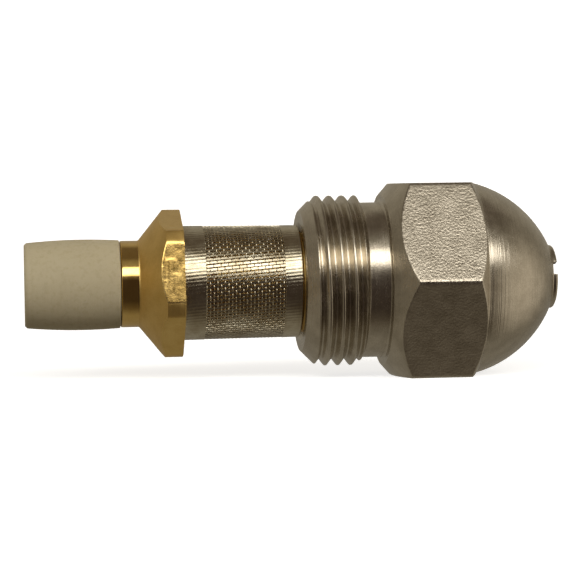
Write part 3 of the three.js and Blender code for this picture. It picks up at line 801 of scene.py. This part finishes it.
def valve_piston():
    pocket, pocket_front, seal_gap = 1.9, -35.0, 0.05
    groove_rear, groove_front, groove = -34.6, -33.6, 1.45
    corners = [
        (PISTON_REAR, pocket, 0.06),
        (PISTON_REAR, PISTON_RADIUS, 0.1),
        (groove_rear, PISTON_RADIUS, 0.05),
        (groove_rear, groove, 0.05),
        (groove_front, groove, 0.05),
        (groove_front, PISTON_RADIUS, 0.05),
        (PISTON_FRONT, PISTON_RADIUS, 0.1),
        (PISTON_FRONT, SEAL_RADIUS + seal_gap, 0.05),
        (SEAL_REAR - seal_gap, SEAL_RADIUS + seal_gap, 0.05),
        (SEAL_REAR - seal_gap, 0),
        (pocket_front, 0),
        (pocket_front, pocket, 0.1),
    ]
    piece = turned("piston_turned", corners, columns=96, spacing=0.3)
    return place(piece, "valve", "valve_piston", BRASS)


def round_disc(name, rear, front, radius, edge, body, node):
    corners = [(rear, 0), (rear, radius, edge), (front, radius, edge), (front, 0)]
    piece = turned(name, corners, columns=96, spacing=0.2, closed=False)
    return place(piece, body, node, RUBBER)


def valve_spring():
    """A compression spring whose last coils are wound closer together, built at one length; the real spring
    shortens as the valve opens.
    """
    wire, coils, per_coil, closer = 0.18, 7.0, 40, 0.04
    middle = SPRING_RADIUS - 0.005 - wire
    t = np.linspace(0, 1, round(coils * per_coil) + 1)
    x = SPRING_REAR + wire + (SPRING_FRONT - SPRING_REAR - 2 * wire) * (t - closer * np.sin(TAU * t))
    theta = TAU / 4 + TAU * coils * t
    outward = np.stack([0 * t, np.cos(theta), np.sin(theta)], axis=-1)
    centres = np.stack([x, middle * np.cos(theta), middle * np.sin(theta)], axis=-1)
    tangent = np.gradient(centres, axis=0)
    tangent /= np.linalg.norm(tangent, axis=1, keepdims=True)
    sideways = np.cross(tangent, outward)
    piece = tubes("valve_spring_coil", centres[None], outward[None], sideways[None], (wire, wire), 12)
    piece.data.materials.append(SPRING_STEEL)
    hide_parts("valve_spring")
    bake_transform(piece)


def spring_plug():
    head_front, sleeve, pocket, pocket_rear = -40.2, 2.32, 1.8, -41.05
    driver_slot_depth, driver_slot_width = 0.6, 0.8
    corners = [
        (PLUG_REAR, 0),
        (PLUG_REAR, PLUG_RADIUS, 0.12),
        (head_front, PLUG_RADIUS, 0.1),
        (head_front, sleeve, 0.02),
        (PLUG_FRONT, sleeve, 0.1),
        (PLUG_FRONT, pocket, 0.08),
        (pocket_rear, pocket, 0.1),
        (pocket_rear, 0),
    ]
    piece = turned("spring_plug_turned", corners, columns=96, spacing=0.3, closed=False)
    size = (driver_slot_depth * 2, PLUG_RADIUS * 3, driver_slot_width)
    cut_boxes(piece, [(size, (PLUG_REAR, 0, 0), 0, 0)])
    return place(piece, "strainer_unit", "spring_plug", BRASS)


def end_cap():
    """The barrel-shaped plastic cap, with a rounded rear edge, a shallow dish and a gate mark in its end."""
    rear_radius, belly_radius, mouth_radius, edge, bore, bore_rear = 3.48, CAP_RADIUS, 3.6, 0.2, 3.0, -42.77
    steps = 14
    side = []
    for i in range(steps + 1):
        t = i / steps
        swell = 4 * t * (1 - t) * (belly_radius - (rear_radius + mouth_radius) / 2)
        radius = rear_radius + t * (mouth_radius - rear_radius) + swell
        side.append((CAP_REAR + edge + t * (CAP_FRONT - CAP_REAR - edge - 0.05), radius))
    corners = [
        (CAP_REAR + 0.06, 0),
        (CAP_REAR + 0.06, 0.45, 0.05),
        (CAP_REAR + 0.14, 0.6, 0.05),
        (CAP_REAR + 0.12, 2.2, 0.3),
        (CAP_REAR, 2.6, 0.3),
        (CAP_REAR, rear_radius - edge * 0.9, 0.12),
        *side,
        (CAP_FRONT, mouth_radius - 0.07, 0.03),
        (CAP_FRONT, bore + 0.1, 0.05),
        (CAP_FRONT - 0.3, bore, 0.05),
        (bore_rear, bore, 0.2),
        (bore_rear, 0),
    ]
    piece = turned("end_cap_moulded", corners, columns=160, spacing=0.25, closed=False)
    return place(piece, "strainer_unit", "end_cap", PLASTIC)


nozzle_body()
orifice_disc()
swirl_distributor()
lock_screw()
oil_tube()
woven_sleeve()
valve_housing()
valve_piston()
valve_spring()
spring_plug()
end_cap()
SPIGOT_RING = (SPIGOT_RING_REAR, SPIGOT_RING_FRONT, SPIGOT_RING_RADIUS)
PISTON_RING = (PISTON_RING_REAR, PISTON_RING_FRONT, PISTON_RING_RADIUS)
o_ring("spigot_seal_ring", *SPIGOT_RING, "spigot_ring", "spigot_o_ring")
o_ring("piston_seal_ring", *PISTON_RING, "valve", "piston_o_ring")
round_disc("valve_seal_disc", SEAL_REAR, SEAL_FRONT, SEAL_RADIUS, 0.12, "valve", "valve_seal")
round_disc("cap_gasket_disc", GASKET_REAR, GASKET_FRONT, GASKET_RADIUS, 0.08, "strainer_unit", "cap_gasket")

# ------------------------------------------------------------------ stage, light and camera


def backdrop():
    """A pale floor under the lowest hexagon flat, sweeping up into a round wall."""
    floor_z = -HEX_INRADIUS
    columns = 128
    profile = [(0.0, 0.0), (60.0, 0.0), (300.0, 0.0), (450.0, 0.0)]
    profile += [(450 + 250 * math.sin(t), 250 - 250 * math.cos(t)) for t in np.linspace(0.1, TAU / 4, 12)]
    profile.append((700.0, 900.0))
    theta = np.arange(columns) * TAU / columns
    grid = np.array([[(r * math.cos(t), r * math.sin(t), floor_z + h) for t in theta] for r, h in profile])
    floor = grid_mesh("studio_floor", grid, axis_rows=[0])
    n = Nodes("studio_floor")
    point, _, _ = n.place()
    pale = n.blend(n.noise(point, 0.02), (0.80, 0.80, 0.80), (0.82, 0.82, 0.82))
    n.feed(n.shader.inputs["Base Color"], pale)
    n.shader.inputs["Roughness"].default_value = 0.9
    n.shader.inputs["Specular IOR Level"].default_value = 0.0
    n.shader.inputs["Emission Color"].default_value = (1.0, 1.0, 1.0, 1)
    n.shader.inputs["Emission Strength"].default_value = 0.72
    floor.data.materials.append(n.material)
    floor.visible_glossy = False
    floor.visible_diffuse = False
    floor.visible_shadow = False


WORLD_STRENGTH = 1.0
# Angle above the horizon on the camera's side, from -180 to 180 degrees, and the light there.
WORLD_BANDS = [
    (-180, (0.26, 0.24, 0.20)),
    (-90, (0.24, 0.22, 0.18)),
    (-66, (0.11, 0.09, 0.065)),
    (-45, (0.05, 0.038, 0.03)),
    (12, (0.05, 0.036, 0.03)),
    (22, (0.16, 0.14, 0.11)),
    (29, (4.2, 4.1, 3.9)),
    (43, (4.2, 4.1, 3.9)),
    (49, (0.34, 0.315, 0.26)),
    (62, (0.27, 0.25, 0.205)),
    (74, (0.14, 0.115, 0.09)),
    (112, (0.14, 0.115, 0.09)),
    (128, (0.36, 0.33, 0.27)),
    (179, (0.36, 0.33, 0.27)),
]
SIDE_LIGHT = (0.24, 0.215, 0.17, 1)  # the light from beyond either end of the object
SIDE_START, SIDE_END = 0.55, 0.9  # how far round towards +X or -X it takes over
GLOW_LIGHT = (0.66, 0.60, 0.50, 1)  # a soft patch beyond the spray end, which lights the dome
GLOW_DIRECTION = (0.982, -0.16, -0.10)
GLOW_START, GLOW_END = 0.72, 1.0


def faded(tree, value, start, end, colour, light):
    """colour, turning softly to light as value goes from start to end."""
    fade = tree.nodes.new("ShaderNodeMapRange")
    fade.interpolation_type = "SMOOTHSTEP"
    fade.inputs["From Min"].default_value = start
    fade.inputs["From Max"].default_value = end
    tree.links.new(value, fade.inputs["Value"])
    mix = tree.nodes.new("ShaderNodeMix")
    mix.data_type = "RGBA"
    tree.links.new(fade.outputs[0], mix.inputs["Factor"])
    tree.links.new(colour, mix.inputs[6])
    mix.inputs[7].default_value = light
    return mix.outputs[2]


def fill_ramp(ramp):
    """Sets the stops of a colour ramp that runs once round the X axis."""
    while len(ramp.elements) < len(WORLD_BANDS):
        ramp.elements.new(0.5)
    for element, (degrees, colour) in zip(ramp.elements, WORLD_BANDS):
        element.position = (degrees + 180) / 360
        element.color = (*colour, 1)


def studio_light():
    """A soft surround, brightest above the camera, dark overhead and at the camera's level, paler behind."""
    world = bpy.data.worlds.new("studio")
    bpy.context.scene.world = world
    world.use_nodes = True
    tree = world.node_tree
    direction = tree.nodes.new("ShaderNodeTexCoord").outputs["Generated"]
    parts = tree.nodes.new("ShaderNodeSeparateXYZ")
    tree.links.new(direction, parts.inputs[0])
    back = tree.nodes.new("ShaderNodeMath")
    back.operation = "MULTIPLY"
    back.inputs[1].default_value = -1.0
    tree.links.new(parts.outputs["Y"], back.inputs[0])
    angle = tree.nodes.new("ShaderNodeMath")
    angle.operation = "ARCTAN2"
    tree.links.new(parts.outputs["Z"], angle.inputs[0])
    tree.links.new(back.outputs[0], angle.inputs[1])
    turn = tree.nodes.new("ShaderNodeMapRange")
    turn.inputs["From Min"].default_value = -math.pi
    turn.inputs["From Max"].default_value = math.pi
    tree.links.new(angle.outputs[0], turn.inputs["Value"])
    ramp = tree.nodes.new("ShaderNodeValToRGB")
    tree.links.new(turn.outputs[0], ramp.inputs["Fac"])
    fill_ramp(ramp.color_ramp)
    aside = tree.nodes.new("ShaderNodeMath")
    aside.operation = "ABSOLUTE"
    tree.links.new(parts.outputs["X"], aside.inputs[0])
    toward_glow = tree.nodes.new("ShaderNodeVectorMath")
    toward_glow.operation = "DOT_PRODUCT"
    tree.links.new(direction, toward_glow.inputs[0])
    toward_glow.inputs[1].default_value = GLOW_DIRECTION
    colour = faded(tree, aside.outputs[0], SIDE_START, SIDE_END, ramp.outputs[0], SIDE_LIGHT)
    colour = faded(tree, toward_glow.outputs["Value"], GLOW_START, GLOW_END, colour, GLOW_LIGHT)
    background = tree.nodes["Background"]
    tree.links.new(colour, background.inputs["Color"])
    background.inputs["Strength"].default_value = WORLD_STRENGTH


CAMERA_DISTANCE = 190.0
CAMERA_LIFT = math.radians(2.1)
CAMERA_ROLL = math.radians(-0.80)
CAMERA_LENS = 144.9
CAMERA_TARGET = (-21.73, 0.0, -0.57)


def add_camera():
    """The camera stands opposite the cap's end and looks a little forwards along the nozzle."""
    data = bpy.data.cameras.new("camera")
    data.lens = CAMERA_LENS
    data.sensor_width = 36.0
    data.clip_start, data.clip_end = 0.01, 5.0
    camera = bpy.data.objects.new("camera", data)
    bpy.context.scene.collection.objects.link(camera)
    place_of_camera = Vector((CAP_REAR, -CAMERA_DISTANCE, CAMERA_DISTANCE * math.tan(CAMERA_LIFT)))
    look = Vector(CAMERA_TARGET) - place_of_camera
    aim = look.to_track_quat("-Z", "Y").to_matrix().to_4x4()
    roll = Matrix.Rotation(CAMERA_ROLL, 4, "Z")
    camera.matrix_world = Matrix.Translation(place_of_camera * MM) @ aim @ roll
    bpy.context.scene.camera = camera


backdrop()
studio_light()
add_camera()
bpy.context.scene.view_settings.view_transform = "Standard"
